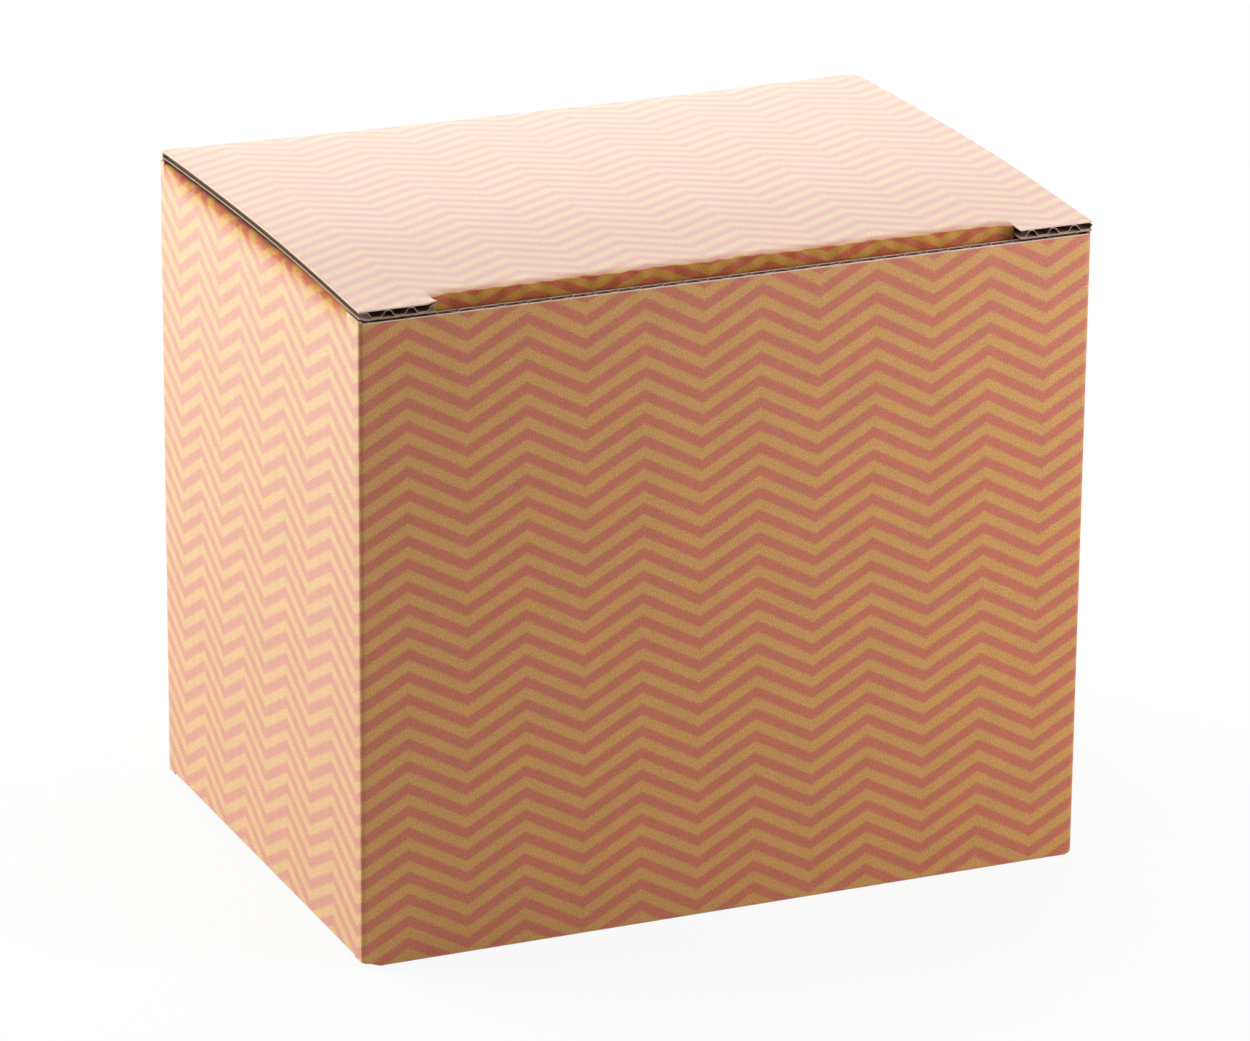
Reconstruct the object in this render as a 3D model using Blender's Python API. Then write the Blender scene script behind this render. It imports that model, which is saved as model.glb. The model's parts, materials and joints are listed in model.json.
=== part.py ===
"""Mug box: a carton cut and folded from one sheet of printed, single-wall corrugated board.

The sheet has five walls in a row (glue flap, back, left, front, right), a lid with a tuck flap on the back
wall, a dust flap on each side wall, and four bottom flaps that lock with a tongue and a slot. The board is
built as it is made: a printed outer liner, a fluted paper and a plain inner liner, each its own object on
every wall and flap, with a crushed strip of board round each fold.

The origin is at the middle of the base. +Z is up, the tuck opens at the front, towards -Y, and +X is right.
"""

import math

import bmesh
import bpy
from mathutils import Matrix, Vector

MM = 0.001

# Outside size of the closed carton. The height is the one at the lid's folds, and its crown stands above it.
WIDTH = 118.0 * MM
DEPTH = 84.8 * MM
HEIGHT = 102.75 * MM

# Corrugated board, and the fluted paper inside it. A flute's crest and trough each take a share of its pitch.
LINER = 0.20 * MM
FLUTED_PAPER = 0.15 * MM
FLUTE_HEIGHT = 1.06 * MM
FLUTE_PITCH = 3.60 * MM
FLUTE_FLAT = 0.20
GLUE_LINE = 0.02 * MM
BOARD = 2 * (LINER + GLUE_LINE) + FLUTE_HEIGHT

# Folds: the board is crushed there to the thickness of its three papers
CRUSHED_BOARD = 2 * LINER + FLUTED_PAPER
FOLD_INNER_RADIUS = 0.15 * MM
FOLD_RADIUS = FOLD_INNER_RADIUS + CRUSHED_BOARD
FOLD_SEAM = 0.03 * MM
FOLD_END_GAP = 0.30 * MM
OUTER_SETBACK = FOLD_RADIUS + FOLD_SEAM
INNER_SETBACK = max(FOLD_RADIUS, BOARD) + FOLD_SEAM

# Facets of a fold and of a rounded corner, the angle that stays a sharp edge, places that count as one, and
# the size at which a hinge is shown
FOLD_STEPS = 6
ARC_STEPS = 5
SHARP_ANGLE = math.radians(40)
SAME_PLACE = 0.005 * MM
HINGE_MARK = 10.0 * MM

# Lid. The dust flaps push its middle up: it climbs to its crown, is level across it and falls to the tuck.
LID_CLEARANCE = 0.40 * MM
LID_HINGE_NOTCH = 0.40 * MM
LID_CROWN = 1.50 * MM
LID_CROWN_START = 14.0 * MM
LID_CROWN_END = 52.0 * MM
SHOULDER_WIDTH = 12.0 * MM

# Tuck flap. It opens by this share of the lid's angle. It leans in by as much as the lid's swing and its own
# opening bring it forward, so that it clears the front wall on its way out.
TUCK_FOLLOW = 0.40
TUCK_LENGTH = 15.0 * MM
TUCK_RADIUS = 3.00 * MM
TUCK_CLEARANCE = 0.40 * MM
TUCK_SIDE_GAP = 1.50 * MM
TUCK_TAPER = 3.00 * MM
TUCK_CORNER = 9.00 * MM
SLIT_CLEARANCE = 0.30 * MM
LID_REACH = DEPTH - BOARD - TUCK_CLEARANCE
TUCK_SWING = TUCK_LENGTH / LID_REACH
TUCK_LEAN = TUCK_SWING / 2 + TUCK_SWING * TUCK_FOLLOW
TUCK_TANGENT = TUCK_RADIUS * math.tan((math.pi / 2 + TUCK_LEAN) / 2)
TUCK_EDGE = LID_REACH - TUCK_TANGENT - FOLD_SEAM

# A flap narrows along its length by this share more than the sweep of the flap beside it needs
EXTRA_TAPER = 0.05

# Dust flaps, which lie on the mug under the lid and rise by this share of the lid's angle
DUST_FOLLOW = 0.60
DUST_LENGTH = 36.0 * MM
DUST_CLEARANCE = 0.40 * MM
DUST_BACK_GAP = 0.70 * MM
DUST_TAPER = DUST_FOLLOW + EXTRA_TAPER
DUST_CORNER = 6.00 * MM
DUST_SETBACK = DEPTH - LID_REACH + BOARD + TUCK_LENGTH * math.sin(TUCK_LEAN) / 2 + DUST_CLEARANCE

# Glue flap, inside the right wall
SEAM_GLUE = 0.05 * MM
GLUE_FLAP_WIDTH = 14.0 * MM
GLUE_FLAP_INSET = 6.00 * MM
GLUE_FLAP_TAPER = 4.00 * MM

# Bottom. The front and back flaps lie on the ground. The side flaps leave their walls just above it, and
# climb onto the other two before they reach them.
CORNER_FOOT = 0.85 * MM
FLAP_CLEARANCE = 0.15 * MM
BOTTOM_RELIEF = 3.50 * MM
SIDE_RELIEF = 3.00 * MM
BACK_FLAP_LENGTH = 52.0 * MM
FLAP_GAP = 0.80 * MM
FLAP_TAPER = 3.00 * MM
FLAP_CORNER = 4.00 * MM
TONGUE_WIDTH = 34.0 * MM
TONGUE_LENGTH = 16.0 * MM
TONGUE_CORNER = 4.00 * MM
SLOT_CLEARANCE = 0.60 * MM
SLOT_CORNER = 2.00 * MM
TONGUE_BEND_OFFSET = 1.00 * MM
SIDE_FOLLOW = 0.80
SIDE_FLAP_LEVEL = BOARD + FLAP_CLEARANCE
SIDE_FLAP_CLIMB = BOTTOM_RELIEF - FLAP_CLEARANCE
SIDE_FLAP_LENGTH = 36.0 * MM
SIDE_FLAP_TAPER = SIDE_FOLLOW + EXTRA_TAPER
SIDE_FLAP_CORNER = 3.00 * MM

# Places that several pieces share
PANEL_TOP = HEIGHT - BOARD - LID_CLEARANCE
BACK_RIGHT = WIDTH / 2 - BOARD - SEAM_GLUE

LEFT = Vector((-1, 0, 0))
RIGHT = Vector((1, 0, 0))
FRONT = Vector((0, -1, 0))
BACK = Vector((0, 1, 0))
UP = Vector((0, 0, 1))
DOWN = Vector((0, 0, -1))
TUCK_DOWN = Vector((0, math.sin(TUCK_LEAN), -math.cos(TUCK_LEAN)))
TUCK_OUT = Vector((0, -math.cos(TUCK_LEAN), -math.sin(TUCK_LEAN)))


def clear_scene():
    for item in list(bpy.data.objects):
        bpy.data.objects.remove(item, do_unlink=True)


def paper(name, colour, roughness):
    """A paper finish for one kind of ply."""
    finish = bpy.data.materials.new(name)
    finish.use_nodes = True
    shader = finish.node_tree.nodes["Principled BSDF"]
    shader.inputs["Base Color"].default_value = (*colour, 1.0)
    shader.inputs["Roughness"].default_value = roughness
    shader.inputs["Metallic"].default_value = 0.0
    finish.diffuse_color = (*colour, 1.0)
    return finish


def frame_at(origin, along, out):
    """A frame for a piece of board: u runs across the flutes, v along them, and n out of the printed face."""
    across = along.cross(out)
    turned = Matrix((across, along, out)).transposed().to_4x4()
    return Matrix.Translation(origin) @ turned


def hinge(name, corner, carrier=None):
    """An empty on a fold's axis, which carries the pieces that swing with it."""
    pivot = bpy.data.objects.new(name, None)
    pivot.empty_display_size = HINGE_MARK
    pivot.parent = carrier
    if carrier:
        pivot.matrix_parent_inverse = carrier.matrix_world.inverted()
    bpy.context.scene.collection.objects.link(pivot)
    pivot.location = corner
    bpy.context.view_layer.update()
    return pivot


def add_piece(name, shape, frame, carrier, finish):
    """Turns a bmesh into a named object at its frame, held by its carrier."""
    bmesh.ops.recalc_face_normals(shape, faces=shape.faces)
    mesh = bpy.data.meshes.new(name)
    shape.to_mesh(mesh)
    shape.free()
    mesh.materials.append(finish)
    piece = bpy.data.objects.new(name, mesh)
    bpy.context.scene.collection.objects.link(piece)
    piece.parent = carrier
    piece.matrix_parent_inverse = carrier.matrix_world.inverted()
    piece.matrix_basis = frame
    return piece


def rounded(corners):
    """An outline from corners (u, v, radius), where a radius of 0 keeps a corner sharp."""
    outline = []
    for index, (u, v, radius) in enumerate(corners):
        corner = Vector((u, v))
        if radius == 0:
            outline.append(corner)
            continue
        before = (Vector(corners[index - 1][:2]) - corner).normalized()
        after = (Vector(corners[(index + 1) % len(corners)][:2]) - corner).normalized()
        half = before.angle(after) / 2
        centre = corner + (before + after).normalized() * radius / math.sin(half)
        reach = radius / math.tan(half)
        start = (corner + before * reach - centre).normalized()
        end = (corner + after * reach - centre).normalized()
        for step in range(ARC_STEPS + 1):
            outline.append(centre + start.slerp(end, step / ARC_STEPS) * radius)
    return outline


def other_half(corners):
    """The same corners on the other side of the middle line, in reverse order."""
    return [(-u, v, radius) for u, v, radius in reversed(corners)]


def edge_with_fold(start, end, level, fold, fold_level):
    """Sharp corners along an edge at one level, which steps to another level where it is folded."""
    return [
        (start, level, 0),
        (fold[0], level, 0),
        (fold[0], fold_level, 0),
        (fold[1], fold_level, 0),
        (fold[1], level, 0),
        (end, level, 0),
    ]


def crease(shape, line):
    """Cuts the faces of a piece of board along v = line, so that it can bend there."""
    every = shape.verts[:] + shape.edges[:] + shape.faces[:]
    point = Vector((0, line, 0))
    bmesh.ops.bisect_plane(shape, geom=every, plane_co=point, plane_no=Vector((0, 1, 0)), dist=SAME_PLACE)


def bend(shape, line, angle):
    """Turns all that lies past v = line about that line, towards the inside of the board."""
    crease(shape, line)
    past = [vert for vert in shape.verts if vert.co.y > line + GLUE_LINE]
    turn = Matrix.Rotation(-angle, 3, "X")
    bmesh.ops.rotate(shape, cent=Vector((0, line, -BOARD / 2)), matrix=turn, verts=past)


def raise_crown(shape):
    """Lifts the lid's board to its crown, between its hinge and the tuck flap's fold."""
    for line in (INNER_SETBACK, LID_CROWN_START, LID_CROWN_END, TUCK_EDGE):
        crease(shape, line)
    for vert in shape.verts:
        climb = (vert.co.y - INNER_SETBACK) / (LID_CROWN_START - INNER_SETBACK)
        fall = (TUCK_EDGE - vert.co.y) / (TUCK_EDGE - LID_CROWN_END)
        vert.co.z += LID_CROWN * max(0.0, min(1.0, climb, fall))


def climb_from_foot(shape):
    """Bends a side bottom flap, which starts at its wall's foot and lies over the front and back flaps."""
    for line in (INNER_SETBACK, SIDE_FLAP_CLIMB):
        crease(shape, line)
    for vert in shape.verts:
        fall = (SIDE_FLAP_CLIMB - vert.co.y) / (SIDE_FLAP_CLIMB - INNER_SETBACK)
        vert.co.z += (SIDE_FLAP_LEVEL - CORNER_FOOT) * max(0.0, min(1.0, fall))


def liner_shape(outline, inner_face):
    """A flat paper with this outline, from its inner face outwards."""
    shape = bmesh.new()
    corners = [shape.verts.new((u, v, inner_face)) for u, v in outline]
    face = shape.faces.new(corners)
    extruded = bmesh.ops.extrude_face_region(shape, geom=[face])
    raised = [item for item in extruded["geom"] if isinstance(item, bmesh.types.BMVert)]
    bmesh.ops.translate(shape, vec=Vector((0, 0, LINER)), verts=raised)
    return shape


def span_at(outline, u):
    """The lowest and highest v of an outline at this u."""
    crossings = []
    for index, (u1, v1) in enumerate(outline):
        u0, v0 = outline[index - 1]
        if min(u0, u1) <= u <= max(u0, u1):
            if u0 == u1:
                crossings += [v0, v1]
            else:
                crossings.append(v0 + (v1 - v0) * (u - u0) / (u1 - u0))
    return min(crossings), max(crossings)


def flute_stations(outline):
    """Places across the board where the fluted paper bends, or where its outline steps."""
    low = min(u for u, v in outline)
    high = max(u for u, v in outline)
    count = round((high - low) / FLUTE_PITCH)
    pitch = (high - low) / count
    bends = [0.0, FLUTE_FLAT, 0.5, 0.5 + FLUTE_FLAT]
    stations = [low + (flute + share) * pitch for flute in range(count) for share in bends]
    stations.append(high)
    for index, (u, v) in enumerate(outline):
        stepped = abs(u - outline[index - 1][0]) < SAME_PLACE
        if stepped and low < u - GLUE_LINE and u + GLUE_LINE < high:
            stations += [u - GLUE_LINE, u + GLUE_LINE]
    kept = []
    for station in sorted(stations):
        if not kept or station - kept[-1] > SAME_PLACE:
            kept.append(station)
    return kept, low, pitch


def flute_rise(share):
    """How far up its wave the paper is, from 0 to 1, at this share of a pitch."""
    leg = 0.5 - FLUTE_FLAT
    if share < FLUTE_FLAT:
        return 0.0
    if share < 0.5:
        return (share - FLUTE_FLAT) / leg
    if share < 0.5 + FLUTE_FLAT:
        return 1.0
    return 1.0 - (share - 0.5 - FLUTE_FLAT) / leg


def fluting_shape(outline):
    """The fluted paper: waves across u, straight along v, cut to the outline."""
    shape = bmesh.new()
    trough = LINER + GLUE_LINE - BOARD
    stations, start, pitch = flute_stations(outline)
    rings = []
    for u in stations:
        low, high = span_at(outline, u)
        under = trough + flute_rise((u - start) / pitch % 1.0) * (FLUTE_HEIGHT - FLUTED_PAPER)
        over = under + FLUTED_PAPER
        section = [(low, under), (high, under), (high, over), (low, over)]
        rings.append([shape.verts.new((u, v, n)) for v, n in section])
    for ring, following in zip(rings, rings[1:]):
        for side in range(4):
            after = (side + 1) % 4
            shape.faces.new((ring[side], ring[after], following[after], following[side]))
    shape.faces.new(rings[0])
    shape.faces.new(reversed(rings[-1]))
    return shape


def board(name, frame, carrier, outline_at, form=None):
    """One wall or flap as its three papers. The inner ones stop short of a fold, where the board is crushed.

    A form is what bends each flat paper to its real shape.
    """
    shapes = {
        "outer_liner": (liner_shape(outline_at(OUTER_SETBACK), -LINER), finishes["printed"]),
        "fluting": (fluting_shape(outline_at(INNER_SETBACK)), finishes["fluted"]),
        "inner_liner": (liner_shape(outline_at(INNER_SETBACK), -BOARD), finishes["plain"]),
    }
    for ply, (shape, finish) in shapes.items():
        if form:
            form(shape)
        add_piece(f"{name}_{ply}", shape, frame, carrier, finish)


def fold(name, corner, along, other, ends, radius, carrier):
    """A crushed strip of board round a fold, whose faces would meet at the corner and run these two ways."""
    half = along.angle(other) / 2
    centre = (along + other).normalized() * radius / math.sin(half)
    reach = radius / math.tan(half)
    start = (along * reach - centre).normalized()
    end = (other * reach - centre).normalized()
    spokes = [start.slerp(end, step / FOLD_STEPS) for step in range(FOLD_STEPS + 1)]
    profile = [centre + spoke * radius for spoke in spokes]
    profile += [centre + spoke * (radius - CRUSHED_BOARD) for spoke in reversed(spokes)]
    axis = along.cross(other).normalized()
    shape = bmesh.new()
    face = shape.faces.new([shape.verts.new(point + axis * ends[0]) for point in profile])
    extruded = bmesh.ops.extrude_face_region(shape, geom=[face])
    far = [item for item in extruded["geom"] if isinstance(item, bmesh.types.BMVert)]
    bmesh.ops.translate(shape, vec=axis * (ends[1] - ends[0]), verts=far)
    strip = add_piece(name, shape, Matrix.Translation(corner), carrier, finishes["printed"])
    strip.data.shade_smooth()
    strip.data.set_sharp_from_angle(angle=SHARP_ANGLE)


def widened(zone):
    """A fold's zone with the small gap that the cut leaves at each end."""
    return zone[0] - FOLD_END_GAP, zone[1] + FOLD_END_GAP


def front_wall(carrier):
    half_fold = WIDTH / 2 - BOTTOM_RELIEF

    def outline_at(setback):
        half = WIDTH / 2 - setback
        foot = edge_with_fold(-half, half, CORNER_FOOT, widened((-half_fold, half_fold)), setback)
        return rounded(foot + [(half, PANEL_TOP, 0), (-half, PANEL_TOP, 0)])

    board("front_wall", frame_at(FRONT * DEPTH / 2, UP, FRONT), carrier, outline_at)


def back_wall(carrier):
    half_fold = WIDTH / 2 - BOTTOM_RELIEF

    def outline_at(setback):
        start = setback - BACK_RIGHT
        end = WIDTH / 2 - setback
        foot = edge_with_fold(start, end, CORNER_FOOT, widened((-half_fold, half_fold)), setback)
        head = HEIGHT - setback
        return rounded(foot + [(end, head, 0), (start, head, 0)])

    board("back_wall", frame_at(BACK * DEPTH / 2, UP, BACK), carrier, outline_at)


def side_wall(name, out, carrier):
    """A side wall, with a dust flap on its top edge. The right one ends in a raw edge at the back seam."""
    towards_front = UP.cross(out).dot(FRONT)
    raw_back = out == RIGHT
    foot_zone = widened((SIDE_RELIEF - DEPTH / 2, DEPTH / 2 - SIDE_RELIEF))
    head_zone = widened(dust_fold_zone(towards_front))
    height = PANEL_TOP - CORNER_FOOT

    def outline_at(setback):
        start = -DEPTH / 2 + setback
        end = DEPTH / 2 - (0 if raw_back else setback)
        foot = edge_with_fold(start, end, 0, foot_zone, setback)
        head = edge_with_fold(start, end, height, head_zone, height - setback)
        return rounded(foot + head[::-1])

    frame = frame_at(out * WIDTH / 2 + UP * CORNER_FOOT, UP, out)
    board(name, frame, carrier, outline_at)


def glue_flap(carrier):
    def outline_at(setback):
        root = DEPTH / 2 - setback
        edge = DEPTH / 2 - GLUE_FLAP_WIDTH
        low = CORNER_FOOT + GLUE_FLAP_INSET
        high = PANEL_TOP - GLUE_FLAP_INSET
        return rounded([
            (edge, low + GLUE_FLAP_TAPER, 0),
            (root, low, 0),
            (root, high, 0),
            (edge, high - GLUE_FLAP_TAPER, 0),
        ])

    board("glue_flap", frame_at(RIGHT * BACK_RIGHT, UP, RIGHT), carrier, outline_at)


def wall_folds(carrier):
    """The four upright folds, at the corners between the walls and at the glue flap."""
    length = PANEL_TOP - CORNER_FOOT
    foot = UP * CORNER_FOOT
    corners = {
        "front_left_fold": (LEFT * WIDTH / 2 + FRONT * DEPTH / 2, RIGHT, BACK),
        "front_right_fold": (RIGHT * WIDTH / 2 + FRONT * DEPTH / 2, BACK, LEFT),
        "back_left_fold": (LEFT * WIDTH / 2 + BACK * DEPTH / 2, FRONT, RIGHT),
        "glue_flap_fold": (RIGHT * BACK_RIGHT + BACK * DEPTH / 2, LEFT, FRONT),
    }
    for name, (corner, along, other) in corners.items():
        fold(name, corner + foot, along, other, (0, length), FOLD_RADIUS, carrier)


def lid_fold_zone():
    """The lid's hinge, across the back wall as seen from behind."""
    return LID_HINGE_NOTCH - BACK_RIGHT, WIDTH / 2 - LID_HINGE_NOTCH


def mirrored(zone):
    """A fold's zone as seen from the other side."""
    return -zone[1], -zone[0]


def dust_fold_zone(towards_front):
    """A dust flap's hinge along its side wall, for a wall whose u runs towards the front (1) or back (-1)."""
    front_end = (DEPTH / 2 - DUST_SETBACK) * towards_front
    back_end = (BOARD + DUST_BACK_GAP - DEPTH / 2) * towards_front
    return min(front_end, back_end), max(front_end, back_end)


def lid(carrier):
    """The crowned lid, with a shoulder over each end of the front wall and the tuck fold between them."""
    inner_shoulder = WIDTH / 2 - SHOULDER_WIDTH

    def outline_at(setback):
        front = edge_with_fold(-WIDTH / 2, WIDTH / 2, DEPTH, (-inner_shoulder, inner_shoulder), TUCK_EDGE)
        return rounded([(-WIDTH / 2, setback, 0), (WIDTH / 2, setback, 0)] + front[::-1])

    frame = frame_at(BACK * DEPTH / 2 + UP * HEIGHT, FRONT, UP)
    board("lid", frame, carrier, outline_at, form=raise_crown)
    corner = BACK * (DEPTH / 2 - LID_REACH) + UP * HEIGHT
    half = inner_shoulder - SLIT_CLEARANCE
    fold("tuck_fold", corner, BACK, TUCK_DOWN, (-half, half), TUCK_RADIUS, carrier)


def tuck_flap(carrier):
    """The flap behind the front wall. Its ends are cut free of the lid by the slits behind the shoulders."""
    half_fold = WIDTH / 2 - SHOULDER_WIDTH - SLIT_CLEARANCE
    half = WIDTH / 2 - BOARD - TUCK_SIDE_GAP
    slit = math.hypot(DEPTH - LID_REACH, BOARD) + SLIT_CLEARANCE
    outline = edge_with_fold(-half, half, slit, (-half_fold, half_fold), TUCK_TANGENT + FOLD_SEAM)
    outline += [(half - TUCK_TAPER, TUCK_LENGTH, TUCK_CORNER), (TUCK_TAPER - half, TUCK_LENGTH, TUCK_CORNER)]
    frame = frame_at(BACK * (DEPTH / 2 - LID_REACH) + UP * HEIGHT, TUCK_DOWN, TUCK_OUT)
    board("tuck_flap", frame, carrier, lambda setback: rounded(outline))


def dust_flap(name, out, carrier):
    """A flap under the lid, square at the front and tapered at the back, where the lid comes down."""
    inward = -out
    towards_front = inward.cross(UP).dot(FRONT)

    def outline_at(setback):
        front = DEPTH / 2 - DUST_SETBACK
        back = BOARD + DUST_BACK_GAP - DEPTH / 2
        corners = [
            (back + DUST_TAPER * setback, setback, 0),
            (front, setback, 0),
            (front, DUST_LENGTH, DUST_CORNER),
            (back + DUST_TAPER * DUST_LENGTH, DUST_LENGTH, DUST_CORNER),
        ]
        if towards_front < 0:
            corners = other_half(corners)
        return rounded(corners)

    frame = frame_at(out * WIDTH / 2 + UP * PANEL_TOP, inward, UP)
    board(name, frame, carrier, outline_at)


def front_bottom_flap(carrier):
    """The flap with the tongue, which rises by one board into the back flap's slot."""
    root = WIDTH / 2 - BOTTOM_RELIEF
    tongue = TONGUE_WIDTH / 2
    shoulder = DEPTH - BACK_FLAP_LENGTH - FLAP_GAP
    tip = shoulder + TONGUE_LENGTH

    def outline_at(setback):
        half = [
            (root, setback, 0),
            (root - FLAP_TAPER, shoulder, FLAP_CORNER),
            (tongue, shoulder, 0),
            (tongue, tip, TONGUE_CORNER),
        ]
        return rounded(half + other_half(half))

    bend_line = shoulder + TONGUE_BEND_OFFSET
    angle = math.asin(SIDE_FLAP_LEVEL / (tip - bend_line))
    frame = frame_at(FRONT * DEPTH / 2, BACK, DOWN)
    board("front_bottom_flap", frame, carrier, outline_at, form=lambda shape: bend(shape, bend_line, angle))


def back_bottom_flap(carrier):
    """The longest flap, with a slot in its free edge for the tongue."""
    root = WIDTH / 2 - BOTTOM_RELIEF
    slot = TONGUE_WIDTH / 2 + SLOT_CLEARANCE
    slot_floor = BACK_FLAP_LENGTH + FLAP_GAP - TONGUE_LENGTH - SLOT_CLEARANCE

    def outline_at(setback):
        half = [
            (root, setback, 0),
            (root - FLAP_TAPER, BACK_FLAP_LENGTH, FLAP_CORNER),
            (slot, BACK_FLAP_LENGTH, SLOT_CORNER),
            (slot, slot_floor, 0),
        ]
        return rounded(half + other_half(half))

    board("back_bottom_flap", frame_at(BACK * DEPTH / 2, FRONT, DOWN), carrier, outline_at)


def side_bottom_flap(name, out, carrier):
    """A flap between the mug and the front and back flaps, tapered so that they open before it."""
    root = DEPTH / 2 - SIDE_RELIEF

    def outline_at(setback):
        half = [
            (root - SIDE_FLAP_TAPER * setback, setback, 0),
            (root - SIDE_FLAP_TAPER * SIDE_FLAP_LENGTH, SIDE_FLAP_LENGTH, SIDE_FLAP_CORNER),
        ]
        return rounded(half + other_half(half))

    frame = frame_at(out * WIDTH / 2 + UP * SIDE_FLAP_LEVEL, -out, DOWN)
    board(name, frame, carrier, outline_at, form=climb_from_foot)


def hinge_folds(carrier):
    """The level folds that the lid, the dust flaps and the bottom flaps swing on."""
    half_bottom = WIDTH / 2 - BOTTOM_RELIEF
    half_side = DEPTH / 2 - SIDE_RELIEF
    back_edge = BACK * DEPTH / 2
    front_edge = FRONT * DEPTH / 2
    left_edge = LEFT * WIDTH / 2
    right_edge = RIGHT * WIDTH / 2
    top = UP * PANEL_TOP
    foot = UP * CORNER_FOOT
    strips = {
        "lid_fold": (back_edge + UP * HEIGHT, FRONT, DOWN, mirrored(lid_fold_zone())),
        "left_dust_fold": (left_edge + top, RIGHT, DOWN, dust_fold_zone(-1)),
        "right_dust_fold": (right_edge + top, DOWN, LEFT, dust_fold_zone(-1)),
        "front_bottom_fold": (front_edge, BACK, UP, (-half_bottom, half_bottom)),
        "back_bottom_fold": (back_edge, UP, FRONT, (-half_bottom, half_bottom)),
        "left_bottom_fold": (left_edge + foot, UP, RIGHT, (-half_side, half_side)),
        "right_bottom_fold": (right_edge + foot, LEFT, UP, (-half_side, half_side)),
    }
    for name, (corner, along, other, zone) in strips.items():
        fold(name, corner, along, other, zone, FOLD_RADIUS, carrier)


def sleeve(carton):
    """The walls, with the glue flap and every fold that stays with them."""
    front_wall(carton)
    back_wall(carton)
    side_wall("left_wall", LEFT, carton)
    side_wall("right_wall", RIGHT, carton)
    glue_flap(carton)
    wall_folds(carton)
    hinge_folds(carton)


def top_closure(carton):
    """The lid with its tuck flap, and the dust flaps under it, each on its own hinge."""
    lid_hinge = hinge("lid_hinge", BACK * DEPTH / 2 + UP * HEIGHT, carton)
    lid(lid_hinge)
    tuck_hinge = hinge("tuck_hinge", BACK * (DEPTH / 2 - LID_REACH) + UP * HEIGHT, lid_hinge)
    tuck_flap(tuck_hinge)
    for side, out in (("left", LEFT), ("right", RIGHT)):
        dust_hinge = hinge(f"{side}_dust_hinge", out * WIDTH / 2 + UP * PANEL_TOP, carton)
        dust_flap(f"{side}_dust_flap", out, dust_hinge)


def bottom_closure(carton):
    """The four bottom flaps, each on its own hinge."""
    front_bottom_flap(hinge("front_bottom_hinge", FRONT * DEPTH / 2, carton))
    back_bottom_flap(hinge("back_bottom_hinge", BACK * DEPTH / 2, carton))
    for side, out in (("left", LEFT), ("right", RIGHT)):
        side_hinge = hinge(f"{side}_bottom_hinge", out * WIDTH / 2 + UP * CORNER_FOOT, carton)
        side_bottom_flap(f"{side}_bottom_flap", out, side_hinge)


clear_scene()
finishes = {
    "printed": paper("printed_kraft_liner", (0.75, 0.40, 0.20), 0.75),
    "fluted": paper("kraft_fluting", (0.40, 0.27, 0.16), 0.90),
    "plain": paper("plain_kraft_liner", (0.52, 0.37, 0.23), 0.85),
}
body = hinge("carton", Vector((0, 0, 0)))
sleeve(body)
top_closure(body)
bottom_closure(body)
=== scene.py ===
"""The mug box, dressed: printed skins, crushed folds and cut edges over its boards, in a plain studio.

Lengths are in metres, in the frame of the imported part: the origin is in the middle of the base, +Z is up
and the tuck opens towards -Y. The print is laid out in millimetres.
"""

import json
import math
from collections import namedtuple

import bmesh
import bpy
from mathutils import Euler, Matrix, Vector, noise


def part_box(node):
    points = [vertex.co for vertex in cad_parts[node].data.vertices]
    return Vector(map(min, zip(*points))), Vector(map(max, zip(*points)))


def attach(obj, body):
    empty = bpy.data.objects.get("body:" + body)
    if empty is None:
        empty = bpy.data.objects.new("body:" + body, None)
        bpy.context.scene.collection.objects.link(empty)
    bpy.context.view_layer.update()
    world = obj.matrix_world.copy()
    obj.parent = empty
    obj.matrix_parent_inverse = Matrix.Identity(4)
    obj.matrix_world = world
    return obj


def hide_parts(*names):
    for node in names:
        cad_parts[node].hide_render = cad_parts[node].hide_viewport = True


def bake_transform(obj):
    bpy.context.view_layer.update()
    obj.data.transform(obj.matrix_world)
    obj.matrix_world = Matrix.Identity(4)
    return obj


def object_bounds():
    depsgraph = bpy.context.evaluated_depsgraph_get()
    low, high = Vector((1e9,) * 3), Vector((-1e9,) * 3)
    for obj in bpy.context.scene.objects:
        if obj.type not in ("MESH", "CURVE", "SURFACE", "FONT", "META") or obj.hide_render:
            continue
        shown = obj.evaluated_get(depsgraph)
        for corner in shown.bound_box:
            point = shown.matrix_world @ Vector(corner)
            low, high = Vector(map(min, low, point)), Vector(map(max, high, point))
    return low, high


MM = 0.001

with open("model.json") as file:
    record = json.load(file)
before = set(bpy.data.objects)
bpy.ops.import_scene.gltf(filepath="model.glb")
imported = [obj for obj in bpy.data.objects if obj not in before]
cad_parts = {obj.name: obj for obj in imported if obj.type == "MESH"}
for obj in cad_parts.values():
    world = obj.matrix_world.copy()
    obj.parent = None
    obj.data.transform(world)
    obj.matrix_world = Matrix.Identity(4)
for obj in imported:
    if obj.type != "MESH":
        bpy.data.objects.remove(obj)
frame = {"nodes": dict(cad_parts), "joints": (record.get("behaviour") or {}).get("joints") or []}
cad_low, cad_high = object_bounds()

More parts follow.
